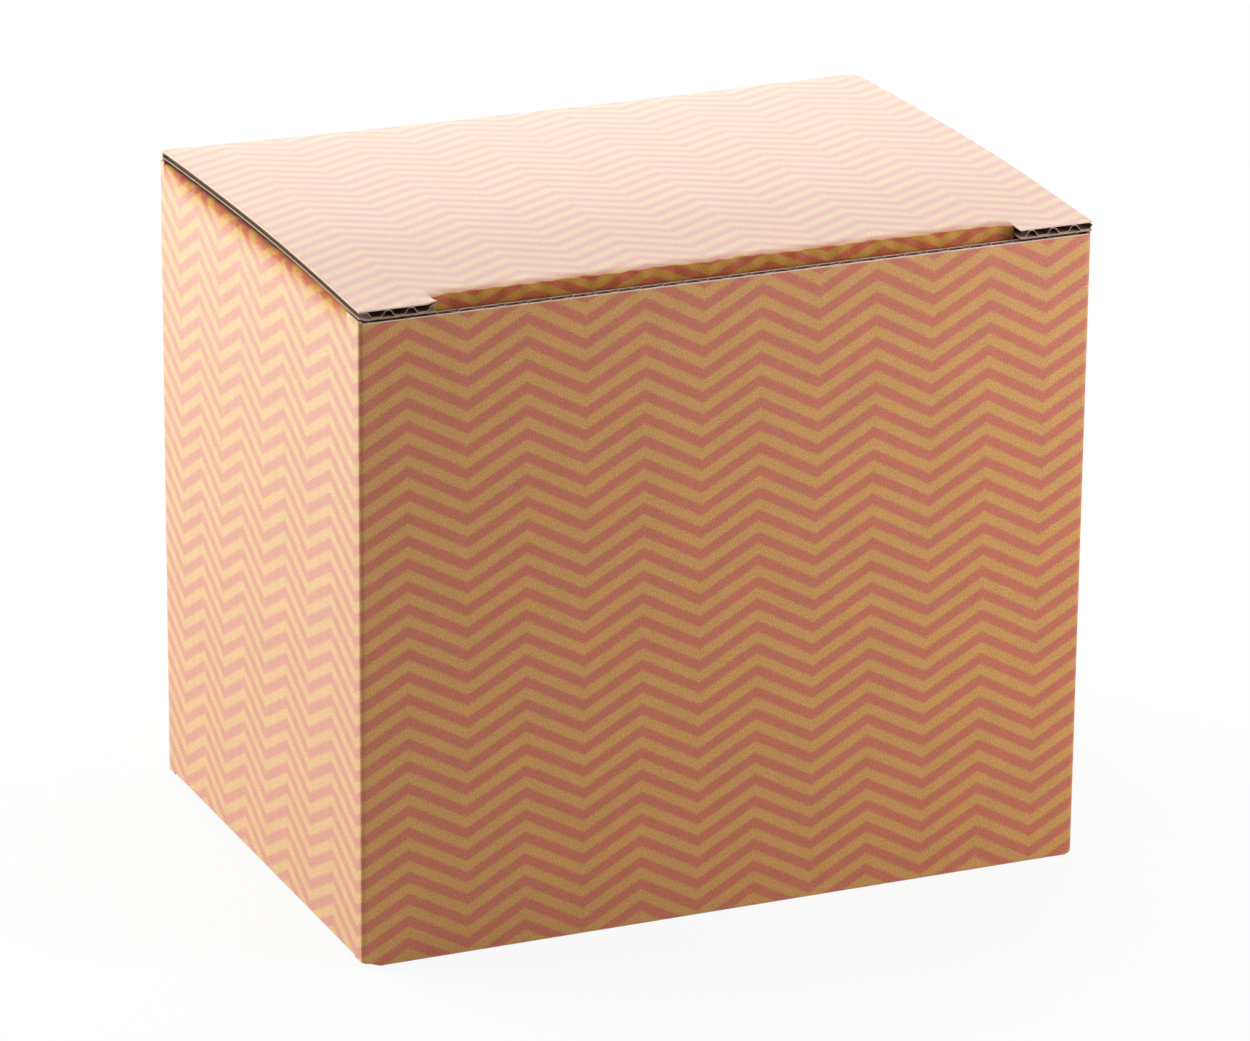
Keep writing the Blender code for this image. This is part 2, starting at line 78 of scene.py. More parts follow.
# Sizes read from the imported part. The height is the one at the lid's folds, under its crown.
HINGES = {joint["name"]: Vector(joint["pos_m"]) for joint in frame["joints"]}
HALF_WIDTH = cad_high.x
HALF_DEPTH = cad_high.y
HEIGHT = HINGES["lid_hinge"].z
PANEL_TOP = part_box("front_wall_outer_liner")[1].z
CORNER_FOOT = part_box("front_left_fold")[0].z
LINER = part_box("front_wall_outer_liner")[1].y + HALF_DEPTH
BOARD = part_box("front_wall_inner_liner")[1].y + HALF_DEPTH
BACK_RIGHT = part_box("glue_flap_fold")[1].x
FOLD_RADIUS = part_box("front_left_fold")[1].x + HALF_WIDTH
INNER_SETBACK = HALF_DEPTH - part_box("lid_inner_liner")[1].y
LID_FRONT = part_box("lid_outer_liner")[0].y
TUCK_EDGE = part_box("tuck_fold")[1].y

# The fluted paper, and the glue on both its sides. Half a crest and a leg are shares of the pitch.
FLUTED_PAPER = 0.15 * MM
GLUE_LINE = 0.02 * MM
FLUTE_PITCH = 3.565 * MM
FLUTE_CREST = -54.50 * MM
HALF_CREST = 0.07
WAVE_LEG = 0.25
WAVE_STEPS = 16
WAVE_RISE = BOARD - 2 * (LINER + GLUE_LINE) - FLUTED_PAPER
CRUSHED_BOARD = 2 * LINER + FLUTED_PAPER

# The lid's shoulders, and its bow: how far its back edge stands up at each end and sags between, how far it
# is bowed, and how full the bow is, where 1 is a sine's arch and less is fuller
SHOULDER_WIDTH = 12.0 * MM
INNER_SHOULDER = HALF_WIDTH - SHOULDER_WIDTH
LID_SIDES = [-HALF_WIDTH, -INNER_SHOULDER, INNER_SHOULDER, HALF_WIDTH]
LID_INNER_ROWS = [LID_FRONT, TUCK_EDGE, HALF_DEPTH - INNER_SETBACK]
BACK_LIFT_LEFT = 0.78 * MM
BACK_LIFT_RIGHT = 0.45 * MM
BACK_SAG = 0.50 * MM
BOW_AT_SIDES = 1.06 * MM
BOW_IN_MIDDLE = 1.40 * MM
ARCH_AT_BACK = 0.5
ARCH_AT_FRONT = 1.2

# The side walls' tops, pressed up to the lid by their dust flaps: the gap left there, and the most they rise
LID_GAP = 0.15 * MM
MOST_RAISED = 1.25 * MM

# Crushed folds: the gap at a strip's ends, the flat bit between its edge and its turn, how far the back
# fold's strip goes on over the lid, how far a dust fold's strip comes down the wall and reaches in, and
# where the turn starts and ends in a section's list of points
FOLD_END_GAP = 0.03 * MM
FOLD_FLAT = 0.10 * MM
LID_FOLD_SPARE = 0.6 * MM
LID_BACK = HALF_DEPTH - FOLD_RADIUS - LID_FOLD_SPARE
DUST_DROP = 3.10 * MM
DUST_REACH = 2.60 * MM
TURN_START = 2
TURN_END = -3

# Uneven creases: how far off the fold's corner they lie, how that follows the waves and wanders, how far
# from the fold's ends they come to full size, and their share of it at the tuck fold's ends. Those of the
# dust folds are measured from the plain turn.
CREASE_WANDER = 0.45 * MM
TUCK_CREASE = 1.15 * MM
TUCK_RIPPLE = 0.17 * MM
TUCK_WANDER_LENGTH = 7 * MM
TUCK_FADE = 3 * MM
TUCK_AT_ENDS = 0.35
DUST_CREASE = 0.75 * MM
DUST_RIPPLE = 0.16 * MM
DUST_WANDER_LENGTH = 6 * MM
DUST_WANDER_SEED = 3.0
DUST_FADE = 10 * MM
DUST_SECOND_CREASE = 0.7 * MM

# Dull print on a turn: where it starts, a little before the turn, and over what length it comes
DULL_START = -0.25 * MM
DULL_RAMP = 0.3 * MM

# Relief cuts at the corners' feet. A rounded bottom fold seems to end FOLD_UNDERCUT above its corner. The
# front wall's left cut slopes down to that level, from RELIEF_START off the corner and over RELIEF_SLOPE.
# Its right cut lies at that level, and rises over the last bit to the share that the corner drops. NOTCH is
# the width of the step at a cut's inner end.
FOLD_UNDERCUT = 0.28 * FOLD_RADIUS
FOOT_DROP = CORNER_FOOT - FOLD_UNDERCUT
NOTCH = 0.02 * MM
RELIEF_START = 0.7 * MM
RELIEF_SLOPE = 2.6 * MM
RELIEF_STEP = 0.3 * MM
RELIEF_STEPS = 8
RIGHT_CORNER_DROP = 0.7
RIGHT_CORNER_RAMP = 0.5 * MM

# Cut edges: the bare strip along the front wall's top, the lid's left edge, which its cut has pressed
# thinner, and the loose paper at the left shoulder's inner corner
RAW_EDGE = 0.14 * MM
CUT_REACH = 1.0 * MM
CUT_CRUSH = 0.28 * MM
LOOSE_LIFT = 0.35 * MM
LOOSE_REACH = 0.8 * MM

# How fine the meshes are, and how far off a place may be for rounding
ARC_STEPS = 12
CORNER_STEPS = 10
EDGE_STEP = 0.25 * MM
LOOSE_STEPS = 6
CUT_STEPS = 4
STRIP_STEP = 0.45 * MM
SHOULDER_STEP = 0.8 * MM
FINE_STEP = 1.2 * MM
LID_STEP = 2 * MM
COARSE_STEP = 3 * MM
WALL_STEP = 6 * MM
STEP_SPARE = 0.001
ROUNDING = 0.001 * MM
PLACE_DIGITS = 7

# The print: a zigzag of two colours in equal stripes, in millimetres
ZIGZAG_PERIOD = 18.75
ZIGZAG_RISE = 5.10
STRIPE_REPEAT = 3.5345

# Where a stripe has a peak of the zigzag, in millimetres: X and Z on the front and back walls, Y and Z on
# the left wall, and X and Y on the lid. The print is drawn out a little on the last two, and pulled across
# in the left wall's middle.
FRONT_PEAK = (-51.555, 100.388)
LEFT_PEAK = (-49.368, 100.528)
BACK_PEAK = (-152.57, 100.528)
LID_PEAK = (-152.57, 45.499)
LEFT_STRETCH = 1.0231
LEFT_DRIFT = 1.5
LID_STRETCH = 1.0182

LEFT = Vector((-1, 0, 0))
RIGHT = Vector((1, 0, 0))
FRONT = Vector((0, -1, 0))
BACK = Vector((0, 1, 0))
UP = Vector((0, 0, 1))
DOWN = Vector((0, 0, -1))


def millimetres(x, y, z):
    return Vector((x, y, z)) * MM


def clamped(share):
    return max(0.0, min(1.0, share))


def smooth(share):
    share = clamped(share)
    return share * share * (3 - 2 * share)


def lid_level(x, y):
    """Height of the lid's printed face. It is bowed, and its back edge stands up at both ends."""
    along = clamped((HALF_DEPTH - y) / (2 * HALF_DEPTH))
    side = (x + HALF_WIDTH) / (2 * HALF_WIDTH)
    middle = 1 - (x / HALF_WIDTH) ** 2
    back = BACK_LIFT_LEFT * (1 - side) + BACK_LIFT_RIGHT * side - BACK_SAG * middle
    bow = BOW_AT_SIDES + (BOW_IN_MIDDLE - BOW_AT_SIDES) * middle
    arch = ARCH_AT_BACK + (ARCH_AT_FRONT - ARCH_AT_BACK) * along
    rise = math.sin(math.pi * along) ** arch if 0 < along < 1 else 0.0
    return HEIGHT + back * (1 - along) + bow * rise


def lid_point(x, y):
    return Vector((x, y, lid_level(x, y)))


def side_raise(x, y):
    """How far a side wall's top stands above its packed height, pressed to the lid by its dust flap."""
    room = lid_level(x, y) - BOARD - LID_GAP - PANEL_TOP
    return max(0.0, min(MOST_RAISED, room))


def rounded_wave(place):
    """The fluted paper's rise at a place across it, from 0 to 1: narrow crests, wide troughs, straight legs.

    The cut on the far left runs along a crest.
    """
    if place < FLUTE_CREST - FLUTE_PITCH:
        return 1.0
    share = ((place - FLUTE_CREST) / FLUTE_PITCH) % 1.0
    off_crest = abs(share - round(share))
    return 1 - smooth((off_crest - HALF_CREST) / WAVE_LEG)


def wave_depth(place):
    """How far in from the printed face the fluted paper lies, at a place across its waves."""
    return LINER + GLUE_LINE + (1 - rounded_wave(place)) * WAVE_RISE


# The print

class Panel:
    """How the print lies on one flat part of the sheet. A stripe has a peak of the zigzag at peak.

    stretch is how much the print is drawn out across and up the panel. drift is how far it is pulled across
    in the middle, in millimetres, and it fades to nothing at half_length from there, both ways.
    """

    def __init__(self, peak, across, up, stretch=(1.0, 1.0), drift=0.0, half_length=1.0):
        self.peak = peak
        self.across = across
        self.up = up
        self.stretch = stretch
        self.drift = drift
        self.half_length = half_length

    def print_at(self, point):
        """Place on the print, in millimetres, of a point in the room."""
        offset = (point - self.peak) / MM
        pull = self.drift * max(0.0, 1 - (point.dot(self.across) / self.half_length) ** 2)
        across = offset.dot(self.across) * self.stretch[0] + pull
        return Vector((across, offset.dot(self.up) * self.stretch[1]))

    def folded(self, corner, across=None, up=None):
        """The next panel of the sheet, where the print runs on past a fold at this corner.

        Past an upright fold, across is the next panel's own way across. Past a level one, up is its way up.
        """
        place = self.print_at(corner) * MM
        if across:
            return Panel(corner - across * place.x - self.up * place.y, across, self.up)
        peak = self.peak + self.up * place.y / self.stretch[1]
        peak += (corner - peak).dot(self.up) * self.up
        stretch = (self.stretch[0], 1.0)
        return Panel(peak - up * place.y, self.across, up, stretch, self.drift, self.half_length)


def tuck_direction():
    """Down the tuck flap from its fold, which leans in a little from upright."""
    low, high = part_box("tuck_flap_outer_liner")
    corner = HINGES["tuck_hinge"]
    lean = math.atan2(high.y - LINER - corner.y, corner.z - low.z)
    return Vector((0, math.sin(lean), -math.cos(lean)))


def sheet_prints():
    """The print on every panel, from where the photograph shows it on the front, the left and the lid."""
    front_edge = FRONT * HALF_DEPTH
    back_edge = BACK * HALF_DEPTH
    front_peak = front_edge + millimetres(FRONT_PEAK[0], 0, FRONT_PEAK[1])
    left_peak = LEFT * HALF_WIDTH + millimetres(0, *LEFT_PEAK)
    back_peak = back_edge + millimetres(BACK_PEAK[0], 0, BACK_PEAK[1])
    lid_peak = UP * HEIGHT + millimetres(*LID_PEAK, 0)
    prints = {
        "front_wall": Panel(front_peak, RIGHT, UP),
        "left_wall": Panel(left_peak, FRONT, UP, (LEFT_STRETCH, 1.0), LEFT_DRIFT, HALF_DEPTH),
        "back_wall": Panel(back_peak, LEFT, UP),
        "lid": Panel(lid_peak, LEFT, FRONT, (1.0, LID_STRETCH)),
    }
    prints["right_wall"] = prints["front_wall"].folded(RIGHT * HALF_WIDTH + front_edge, across=BACK)
    prints["glue_flap"] = prints["back_wall"].folded(RIGHT * BACK_RIGHT + back_edge, across=BACK)
    prints["front_bottom_flap"] = prints["front_wall"].folded(front_edge, up=FRONT)
    prints["back_bottom_flap"] = prints["back_wall"].folded(back_edge, up=BACK)
    prints["tuck_flap"] = prints["lid"].folded(HINGES["tuck_hinge"], up=tuck_direction())
    for side, out in (("left", LEFT), ("right", RIGHT)):
        wall = prints[f"{side}_wall"]
        prints[f"{side}_dust_flap"] = wall.folded(out * HALF_WIDTH + UP * PANEL_TOP, up=-out)
        prints[f"{side}_bottom_flap"] = wall.folded(out * HALF_WIDTH + UP * CORNER_FOOT, up=out)
    return prints


PRINTS = sheet_prints()


# Materials

# The two inks, how far their stripes wander and their edges bleed, in millimetres, and half the width of
# their soft edge, as a share of a stripe
PINK_INK = (0.384, 0.074, 0.018, 1)
YELLOW_INK = (0.426, 0.194, 0.016, 1)
STRIPE_WANDER = 0.5
INK_BLEED = 0.70
INK_EDGE = 0.18

# How much the ink's shade varies with the grain, the long clouds and the fibres, and the pale specks
GRAIN_SHADE = 0.27
CLOUD_SHADE = 0.03
FIBRE_SHADE = 0.05
PALE_SPECK = (0.62, 0.42, 0.30, 1)

# How much unprinted paper's shade varies, and the scale of its fibres each way, which are long and upright
KRAFT_FIBRE_SHADE = 0.20
KRAFT_CLOUD_SHADE = 0.06
KRAFT_FIBRES = (1.0, 1.0, 0.35)

# The printed face's gloss, and how much rougher it is where a fold has dulled it
COAT = 0.9
COAT_PATCHES = 0.15
PRINT_ROUGHNESS = 0.50
DULLED_ROUGHNESS = 0.45
EVEN_GLOSS = {
    "IOR": 1.5,
    "Coat IOR": 1.5,
    "Coat Roughness": 0.50,
    "Sheen Weight": 0.1,
    "Sheen Roughness": 0.40,
}

# How much the fibres vary a paper's roughness, and the heights of the marks in the surface
FIBRE_ROUGHNESS = 0.06
FLUTE_MARK = 0.012 * MM
GRAIN_MARK = 0.02 * MM
FIBRE_MARK = 0.04 * MM


class Nodes:
    """Short calls that build a material's nodes. Places and the waves of a noise are in millimetres."""

    def __init__(self, name):
        self.material = bpy.data.materials.new(name)
        self.material.use_nodes = True
        self.tree = self.material.node_tree
        self.shader = self.tree.nodes["Principled BSDF"]

    def link(self, value, socket):
        if isinstance(value, bpy.types.NodeSocket):
            self.tree.links.new(value, socket)
        else:
            socket.default_value = value

    def math(self, operation, *values):
        node = self.tree.nodes.new("ShaderNodeMath")
        node.operation = operation
        for value, socket in zip(values, node.inputs):
            self.link(value, socket)
        return node.outputs[0]

    def scaled(self, place, scale):
        node = self.tree.nodes.new("ShaderNodeVectorMath")
        node.operation = "MULTIPLY"
        self.link(place, node.inputs[0])
        self.link(scale, node.inputs[1])
        return node.outputs[0]

    def noise(self, place, scale, detail=2.0, roughness=0.5):
        node = self.tree.nodes.new("ShaderNodeTexNoise")
        self.link(place, node.inputs["Vector"])
        node.inputs["Scale"].default_value = scale
        node.inputs["Detail"].default_value = detail
        node.inputs["Roughness"].default_value = roughness
        return node.outputs["Fac"]

    def remap(self, value, low, high, new_low=0.0, new_high=1.0):
        node = self.tree.nodes.new("ShaderNodeMapRange")
        node.interpolation_type = "SMOOTHSTEP"
        self.link(value, node.inputs["Value"])
        node.inputs["From Min"].default_value = low
        node.inputs["From Max"].default_value = high
        node.inputs["To Min"].default_value = new_low
        node.inputs["To Max"].default_value = new_high
        return node.outputs["Result"]

    def varied(self, texture, amount, about=0.0, reach=0.25):
        """about, moved by a noise: amount up or down where the noise is reach above or below 0.5."""
        return self.remap(texture, 0.5 - reach, 0.5 + reach, about - amount, about + amount)

    def centred(self, texture, width):
        """A noise spread over a width, half of it below 0."""
        return self.math("MULTIPLY_ADD", texture, width, -width / 2)

    def specks(self, place, scale, roughness, start, full, cover):
        """Nothing where a fine noise is under start, and up to cover where it is over full."""
        return self.remap(self.noise(place, scale, 5.0, roughness), start, full, 0.0, cover)

    def triangle(self, value, period):
        """1 at each whole period and 0 halfway between, with straight slopes."""
        share = self.math("FRACT", self.math("DIVIDE", value, period))
        return self.math("ABSOLUTE", self.math("MULTIPLY_ADD", share, 2.0, -1.0))

    def mix(self, share, first, second, blend_type="MIX"):
        node = self.tree.nodes.new("ShaderNodeMix")
        node.data_type = "RGBA"
        node.blend_type = blend_type
        self.link(share, node.inputs[0])
        self.link(first, node.inputs[6])
        self.link(second, node.inputs[7])
        return node.outputs[2]

    def shaded(self, colour, shade):
        """A colour made lighter or darker by a number round 1."""
        grey = self.tree.nodes.new("ShaderNodeCombineColor")
        for channel in range(3):
            self.link(shade, grey.inputs[channel])
        return self.mix(1.0, colour, grey.outputs[0], "MULTIPLY")

    def bump(self, height, distance, onto=None):
        node = self.tree.nodes.new("ShaderNodeBump")
        node.inputs["Distance"].default_value = distance
        self.link(height, node.inputs["Height"])
        if onto:
            self.link(onto, node.inputs["Normal"])
        return node.outputs["Normal"]


def zigzag_ink(nodes, place, across, up):
    """The two inks in zigzag stripes, with soft, slightly ragged edges."""
    drift = nodes.noise(place, 0.05, detail=1.0)
    bleed = nodes.noise(place, 1.6, detail=3.0, roughness=0.7)
    across = nodes.math("ADD", across, nodes.centred(drift, STRIPE_WANDER))
    peak = nodes.triangle(across, ZIGZAG_PERIOD)
    fall = nodes.math("MULTIPLY", nodes.math("SUBTRACT", 1.0, peak), ZIGZAG_RISE)
    level = nodes.math("ADD", nodes.math("ADD", up, fall), nodes.centred(bleed, INK_BLEED))
    yellow = nodes.remap(nodes.triangle(level, STRIPE_REPEAT), 0.5 - INK_EDGE, 0.5 + INK_EDGE)
    return nodes.mix(yellow, PINK_INK, YELLOW_INK)


def printed_paper():
    """Kraft liner printed with the zigzag, with grain, fibres, pale specks and faint flute marks."""
    nodes = Nodes("printed_paper")
    uv = nodes.tree.nodes.new("ShaderNodeUVMap")
    uv.uv_map = "print"
    place = uv.outputs["UV"]
    split = nodes.tree.nodes.new("ShaderNodeSeparateXYZ")
    nodes.link(place, split.inputs[0])
    ink = zigzag_ink(nodes, place, split.outputs["X"], split.outputs["Y"])

    grain = nodes.noise(place, 3.4, roughness=0.6)
    fibre = nodes.noise(place, 6.0, detail=3.0, roughness=0.7)
    cloud = nodes.noise(place, 0.12, detail=3.0)
    shade = nodes.varied(grain, GRAIN_SHADE, 1.0)
    shade = nodes.math("ADD", shade, nodes.varied(cloud, CLOUD_SHADE, reach=0.2))
    shade = nodes.math("ADD", shade, nodes.varied(fibre, FIBRE_SHADE))
    specks = nodes.specks(place, scale=1.1, roughness=0.75, start=0.70, full=0.80, cover=0.4)
    flecked = nodes.mix(specks, nodes.shaded(ink, shade), PALE_SPECK)
    nodes.link(flecked, nodes.shader.inputs["Base Color"])

    dullness = nodes.tree.nodes.new("ShaderNodeAttribute")
    dullness.attribute_name = "dullness"
    dull = dullness.outputs["Fac"]
    fresh = nodes.varied(fibre, FIBRE_ROUGHNESS, PRINT_ROUGHNESS, reach=0.3)
    rough = nodes.math("ADD", fresh, nodes.math("MULTIPLY", dull, DULLED_ROUGHNESS))
    nodes.link(rough, nodes.shader.inputs["Roughness"])
    coat = nodes.math("MULTIPLY_ADD", dull, -COAT, COAT)
    patchy = nodes.math("MULTIPLY", coat, nodes.varied(grain, COAT_PATCHES, 1.0))
    nodes.link(patchy, nodes.shader.inputs["Coat Weight"])

    flute = nodes.math("SINE", nodes.math("MULTIPLY", split.outputs["X"], 2 * math.pi * MM / FLUTE_PITCH))
    washboard = nodes.bump(flute, FLUTE_MARK)
    nodes.link(nodes.bump(grain, GRAIN_MARK, onto=washboard), nodes.shader.inputs["Normal"])
    for socket, value in EVEN_GLOSS.items():
        nodes.shader.inputs[socket].default_value = value
    return nodes.material


def kraft_paper(name, colour, fleck, roughness, gloss):
    """Unprinted brown paper, with long fibres and small flecks."""
    nodes = Nodes(name)
    room = nodes.tree.nodes.new("ShaderNodeTexCoord")
    place = nodes.scaled(room.outputs["Object"], (1 / MM, 1 / MM, 1 / MM))
    fibre = nodes.noise(nodes.scaled(place, KRAFT_FIBRES), 3.0, detail=6.0, roughness=0.75)
    cloud = nodes.noise(place, 0.15, detail=3.0)
    shade = nodes.varied(fibre, KRAFT_FIBRE_SHADE, 1.0)
    shade = nodes.math("ADD", shade, nodes.varied(cloud, KRAFT_CLOUD_SHADE, reach=0.2))
    specks = nodes.specks(place, scale=1.2, roughness=0.8, start=0.66, full=0.78, cover=0.6)
    flecked = nodes.mix(specks, nodes.shaded((*colour, 1), shade), (*fleck, 1))
    nodes.link(flecked, nodes.shader.inputs["Base Color"])
    rough = nodes.varied(fibre, FIBRE_ROUGHNESS, roughness, reach=0.3)
    nodes.link(rough, nodes.shader.inputs["Roughness"])
    nodes.link(nodes.bump(fibre, FIBRE_MARK), nodes.shader.inputs["Normal"])
    nodes.shader.inputs["Specular IOR Level"].default_value = gloss
    return nodes.material


PRINTED = printed_paper()
PLAIN = kraft_paper("plain_paper", (0.42, 0.28, 0.19), (0.28, 0.17, 0.11), roughness=0.80, gloss=0.5)
# The fluted paper has its own brown, made darker as painted shade for the hollows between its waves
FLUTING_AND_SHADE = kraft_paper("fluted_paper_and_painted_shade", (0.19, 0.11, 0.075), (0.11, 0.06, 0.04), roughness=0.90, gloss=0.1)
# Cut edges have their own pale colour, made paler still as a painted highlight where rounded edges catch the
# light
CUT_EDGE_AND_HIGHLIGHT = kraft_paper("cut_edge", (0.64, 0.47, 0.38), (0.44, 0.30, 0.22), roughness=0.90, gloss=0.2)
INNER_CUT = kraft_paper("inner_cut_edge", (0.36, 0.25, 0.19), (0.24, 0.15, 0.11), roughness=0.90, gloss=0.1)


# Meshes

# A piece lists its finishes in this order
FACE_SIDE = 0
BACK_SIDE = 1
CUT_SIDE = 2
PRINTED_PAPER = [PRINTED, PLAIN, CUT_EDGE_AND_HIGHLIGHT]


def new_object(name, data):
    thing = bpy.data.objects.new(name, data)
    bpy.context.scene.collection.objects.link(thing)
    return thing


def new_piece(name, shape, finishes, body=None, smooth_angle=40):
    """Turns a bmesh into an object, which rides on a body if one is given."""
    bmesh.ops.recalc_face_normals(shape, faces=shape.faces)
    mesh = bpy.data.meshes.new(name)
    shape.to_mesh(mesh)
    shape.free()
    for finish in finishes:
        mesh.materials.append(finish)
    mesh.shade_smooth()
    mesh.set_sharp_from_angle(angle=math.radians(smooth_angle))
    piece = new_object(name, mesh)
    if body:
        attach(piece, body)
    return piece


def paper_over(name, columns, rows, covers, place, print_at, body, finishes, bare=None):
    """A paper over a grid of columns and rows, where covers(column, row) says which cells it has.

    place(column, row, depth) gives a point, with a depth of 0 on the printed face and 1 on the back.
    print_at(column, row) gives the place on the print. finishes are those of the face, the back and the cut
    edges. bare(column, row) says where the print has come off at an edge.
    """
    shape = bmesh.new()
    layer = shape.loops.layers.uv.new("print")
    corners = {}

    def corner(key):
        if key not in corners:
            column, row, depth = key
            corners[key] = shape.verts.new(place(columns[column], rows[row], depth))
        return corners[key]

    def add_face(keys, finish):
        face = shape.faces.new([corner(key) for key in keys])
        face.material_index = finish
        for loop, (column, row, _) in zip(face.loops, keys):
            loop[layer].uv = print_at(columns[column], rows[row])

    def middle(column, row):
        return (columns[column] + columns[column + 1]) / 2, (rows[row] + rows[row + 1]) / 2

    def is_covered(column, row):
        inside = 0 <= column < len(columns) - 1 and 0 <= row < len(rows) - 1
        return inside and covers(*middle(column, row))

    for column in range(len(columns) - 1):
        for row in range(len(rows) - 1):
            if not is_covered(column, row):
                continue
            ring = [(column, row), (column + 1, row), (column + 1, row + 1), (column, row + 1)]
            is_bare = bare and bare(*middle(column, row))
            add_face([(*key, 0) for key in ring], CUT_SIDE if is_bare else FACE_SIDE)
            add_face([(*key, 1) for key in reversed(ring)], BACK_SIDE)
            beside = [(column, row - 1), (column + 1, row), (column, row + 1), (column - 1, row)]
            for side, neighbour in enumerate(beside):
                if not is_covered(*neighbour):
                    near = ring[side]
                    far = ring[(side + 1) % 4]
                    add_face([(*near, 0), (*near, 1), (*far, 1), (*far, 0)], CUT_SIDE)
    return new_piece(name, shape, finishes, body)


def stations(breaks, step):
    """Places from the first break to the last, through every one, and no further apart than step."""
    breaks = sorted(set(round(place, PLACE_DIGITS) for place in breaks))
    places = [breaks[0]]
    for start, end in zip(breaks, breaks[1:]):
        count = max(1, math.ceil((end - start) / step - STEP_SPARE))
        places += [start + (end - start) * part / count for part in range(1, count + 1)]
    return places


# The sleeve's printed skin

# One flat or rounded stretch of the sleeve's outline, seen from above. Its functions take a place from 0 to
# length. at gives the point there at the base and the way out of the printed face. print_at takes a height
# too. low and high give the levels of the paper's edges. raised says how far the top stands above its packed
# level, and dropped how far the foot lies below its own. breaks are the places that need a column. is_raw
# says that the print has come off along the top.
Run = namedtuple("Run", "length breaks at print_at low high thickness raised dropped is_raw")


def corner_run(corner, out_before, out_after, before, after):
    """A rounded upright corner between two panels, whose faces look out_before and out_after."""
    length = FOLD_RADIUS * math.pi / 2
    centre = corner - (out_before + out_after) * FOLD_RADIUS
    breaks = [length * step / CORNER_STEPS for step in range(CORNER_STEPS + 1)]

    def at(along):
        angle = along / FOLD_RADIUS
        out = out_before * math.cos(angle) + out_after * math.sin(angle)
        return centre + out * FOLD_RADIUS, out

    def print_at(along, height):
        first = PRINTS[before].print_at(corner - out_after * FOLD_RADIUS)
        second = PRINTS[after].print_at(corner - out_before * FOLD_RADIUS)
        return first.lerp(second, along / length) + Vector((0, height / MM))

    def raised(along):
        """The front corners come down to the front wall's top, and the back ones stay up."""
        full = side_raise(corner.x, corner.y)
        if corner.y > 0:
            return full
        share = along / length
        return full * (1 - share if before == "left_wall" else share)

    def dropped(along):
        """The front right corner goes down to the front wall, and the front left one up to the left wall."""
        share = 1 - along / length
        if before == "front_wall":
            return FOOT_DROP * RIGHT_CORNER_DROP * share
        if before == "left_wall":
            return -FOLD_UNDERCUT * share
        return 0.0

    def low(along):
        return CORNER_FOOT

    def high(along):
        return PANEL_TOP

    return Run(length, breaks, at, print_at, low, high, CRUSHED_BOARD, raised, dropped, is_raw=False)


def wall_run(name, start, end, out):
    """A flat wall from start to end. Its top and bottom edges step back where a fold takes over."""
    heading = (end - start).normalized()
    length = (end - start).length
    is_side = name in ("left_wall", "right_wall")
    axis = 1 if is_side else 0

    def fold_zone(box):
        """Where a packed fold starts and ends along the wall. The wall opposite has the same ends."""
        ends = [(corner[axis] - start[axis]) * heading[axis] for corner in box]
        return min(ends) - FOLD_END_GAP, max(ends) + FOLD_END_GAP

    bottom_start, bottom_end = fold_zone(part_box("left_bottom_fold" if is_side else "front_bottom_fold"))
    dust_start, dust_end = fold_zone(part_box("left_dust_fold"))

    def at(along):
        return start + heading * along, out

    def print_at(along, height):
        return PRINTS[name].print_at(start + heading * along + UP * height)

    def low(along):
        if not bottom_start < along < bottom_end:
            return CORNER_FOOT
        return CORNER_FOOT + FOLD_RADIUS if is_side else FOLD_RADIUS

    def high(along):
        if name == "back_wall":
            return HEIGHT - FOLD_RADIUS
        if is_side and dust_start < along < dust_end:
            return PANEL_TOP - DUST_DROP
        return PANEL_TOP

    def raised(along):
        """A side wall's top is up against the lid."""
        point = start + heading * along
        return side_raise(point.x, point.y) if is_side else 0.0

    def dropped(along):
        """The front wall's left relief cut slopes down from its corner, and its right one is down."""
        if bottom_start - NOTCH / 2 < along < bottom_end + NOTCH / 2:
            return 0.0
        if name == "left_wall":
            return -FOLD_UNDERCUT
        if name != "front_wall":
            return 0.0
        if along < length / 2:
            return FOOT_DROP * smooth((along + FOLD_RADIUS - RELIEF_START) / RELIEF_SLOPE)
        share = min(1.0, (length - along) / RIGHT_CORNER_RAMP)
        return FOOT_DROP * (RIGHT_CORNER_DROP + (1 - RIGHT_CORNER_DROP) * share)

    breaks = [0.0, length, bottom_start, bottom_end]
    if is_side:
        breaks += [dust_start, dust_end]
    if name in ("front_wall", "left_wall"):
        breaks += [bottom_start - NOTCH, bottom_end + NOTCH]
    if name == "front_wall":
        breaks += [step * RELIEF_STEP for step in range(1, RELIEF_STEPS + 1)]
        breaks += [length - RIGHT_CORNER_RAMP]
    breaks = stations([place for place in breaks if 0 <= place <= length], FINE_STEP)
    is_raw = name == "front_wall"
    return Run(length, breaks, at, print_at, low, high, LINER, raised, dropped, is_raw)


def sleeve_runs():
    """The stretches in order round the sleeve, from the glue flap's corner to the right wall's raw edge."""
    turns = [
        (RIGHT * BACK_RIGHT + BACK * HALF_DEPTH, RIGHT, BACK, "glue_flap", "back_wall"),
        (LEFT * HALF_WIDTH + BACK * HALF_DEPTH, BACK, LEFT, "back_wall", "left_wall"),
        (LEFT * HALF_WIDTH + FRONT * HALF_DEPTH, LEFT, FRONT, "left_wall", "front_wall"),
        (RIGHT * HALF_WIDTH + FRONT * HALF_DEPTH, FRONT, RIGHT, "front_wall", "right_wall"),
    ]
    runs = []
    for index, (corner, out_before, out_after, before, after) in enumerate(turns):
        runs.append(corner_run(corner, out_before, out_after, before, after))
        start = corner - out_before * FOLD_RADIUS
        if index + 1 < len(turns):
            next_corner, _, next_out, _, _ = turns[index + 1]
            end = next_corner - next_out * FOLD_RADIUS
        else:
            end = RIGHT * HALF_WIDTH + BACK * HALF_DEPTH
        runs.append(wall_run(after, start, end, out_after))
    return runs


